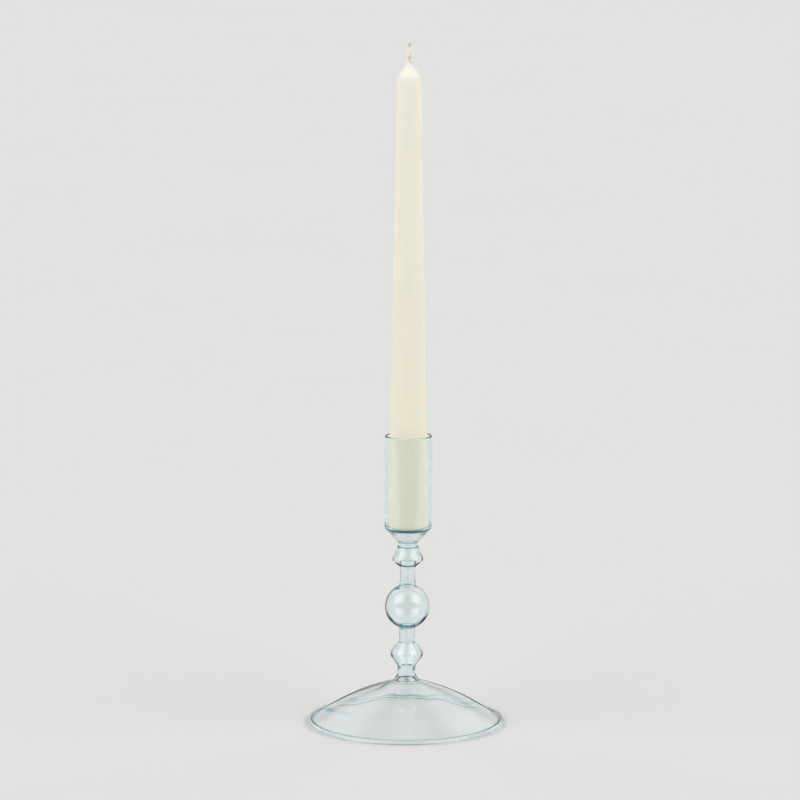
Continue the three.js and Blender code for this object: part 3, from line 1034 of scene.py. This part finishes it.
def add_strand(shape, path, radii, sides, lobes=0):
    """Sweeps a closed strand along a path of points in mm. Lobes make it look spun."""
    rings = []
    side = Vector((1, 0, 0))
    for number, (point, radius) in enumerate(zip(path, radii)):
        along = (path[min(number + 1, len(path) - 1)] - path[max(number - 1, 0)]).normalized()
        side = (side - along * side.dot(along)).normalized()
        across = along.cross(side)
        ring = []
        for step in range(sides):
            angle = 2 * math.pi * step / sides
            swell = 1
            if lobes:
                swell += LOBE_DEPTH * math.cos(lobes * (angle - LOBE_TWIST * number))
            offset = (side * math.cos(angle) + across * math.sin(angle)) * radius * swell
            ring.append(shape.verts.new((point + offset) * MM))
        rings.append(ring)
    for lower, upper in zip(rings, rings[1:]):
        for step in range(sides):
            follow = (step + 1) % sides
            shape.faces.new([lower[step], lower[follow], upper[follow], upper[step]])
    shape.faces.new(rings[0][::-1])
    shape.faces.new(rings[-1])


def blend_along(stops, height):
    """The value at a height between the two nearest (height, value) stops."""
    for (z0, v0), (z1, v1) in zip(stops, stops[1:]):
        if height <= z1:
            share = max(0.0, (height - z0) / (z1 - z0))
            share = share * share * (3 - 2 * share)
            return v0 + (v1 - v0) * share
    return stops[-1][1]


print("strand helper ready")

# %% [markdown]
# ## The plait
#
# Three strands make the plait. Its width and the thickness of its yarns change along it: narrow
# where the wax holds it, full above, pinched below the end. Inside the wax nobody sees it, so
# the points of its path lie further apart there.

# %% Plait
WICK_TOP = span_of("wick")[1]
PLAIT_LENGTH = 6.4
PLAIT_DEPTH = 0.40
PLAIT_WIDTH = [(CANDLE_TOP, 0.76), (380.0, 0.92), (384.0, 0.88), (386.5, 0.30), (388.4, 0.62)]
PLAIT_WIDTH += [(WICK_TOP, 0.9)]
YARN_RADIUS = [(CANDLE_TOP, 0.50), (381.0, 0.56), (384.6, 0.50), (386.6, 0.36), (388.6, 0.42)]
YARN_RADIUS += [(WICK_TOP, 0.22)]
WICK_LEAN = [(CANDLE_TOP, 0.0), (381.0, 0.25), (386.5, 0.05), (WICK_TOP, -0.15)]
HIDDEN_STEP = 1.0
OPEN_STEP = 0.3
STRANDS = 3
YARN_SIDES = 12
YARN_LOBES = 3

wick_shape = bmesh.new()
heights = [CANDLE_SEAT + 0.2]
while heights[-1] < WICK_TOP - 0.9:
    heights.append(heights[-1] + (HIDDEN_STEP if heights[-1] < CANDLE_TOP - 3 else OPEN_STEP))
for strand in range(STRANDS):
    radii = [blend_along(YARN_RADIUS, height) for height in heights]
    path = []
    for height in heights:
        turn = 2 * math.pi * (height / PLAIT_LENGTH + strand / STRANDS)
        x = blend_along(WICK_LEAN, height) + blend_along(PLAIT_WIDTH, height) * math.sin(turn)
        path.append(Vector((x, PLAIT_DEPTH * math.sin(2 * turn), height)))
    add_strand(wick_shape, path, radii, YARN_SIDES, YARN_LOBES)
print("plait points:", len(wick_shape.verts))

# %% [markdown]
# ## Loose fibres
#
# A hundred and fifty fibres stand off the plait, most of them at the end, each thrown by a
# seeded dice, so that every run is the same.

# %% Fibres, and the finished wick
FIBRES = 150
TIP_FIBRES = 100
FIBRE_RADII = [0.075, 0.072, 0.066, 0.056, 0.042, 0.02]
FIBRE_CURL = 0.22
FIBRE_SIDES = 5

dice = random.Random(11)
for fibre in range(FIBRES):
    at_tip = fibre < TIP_FIBRES
    foot_height = dice.uniform(386.6, 389.4) if at_tip else dice.uniform(CANDLE_TOP + 1, 386.0)
    length = dice.uniform(1.2, 3.4) if at_tip else dice.uniform(0.5, 1.1)
    angle = dice.uniform(0, 2 * math.pi)
    spread = dice.uniform(0.1, 0.75) if at_tip else dice.uniform(0.8, 1.6)
    x = blend_along(PLAIT_WIDTH, foot_height) * math.cos(angle) + blend_along(WICK_LEAN, foot_height)
    start = Vector((x, 0.5 * math.sin(angle), foot_height))
    aim = Vector((spread * math.cos(angle), 0.7 * spread * math.sin(angle), 1)).normalized()
    curl = Vector((dice.uniform(-1, 1), dice.uniform(-1, 1), dice.uniform(-0.4, 0.4))) * FIBRE_CURL
    last = len(FIBRE_RADII) - 1
    path = []
    for step in range(last + 1):
        share = step / last
        point = start + aim * length * share + curl * length * share ** 2
        path.append(Vector((point.x, point.y, min(point.z, WICK_TOP - 0.02 * (last - step)))))
    add_strand(wick_shape, path, FIBRE_RADII, FIBRE_SIDES)

wick_plait = object_from("wick_plait", wick_shape)
wick_plait.data.shade_smooth()
finish_piece(wick_plait, "wick", "loose_candle", cotton)
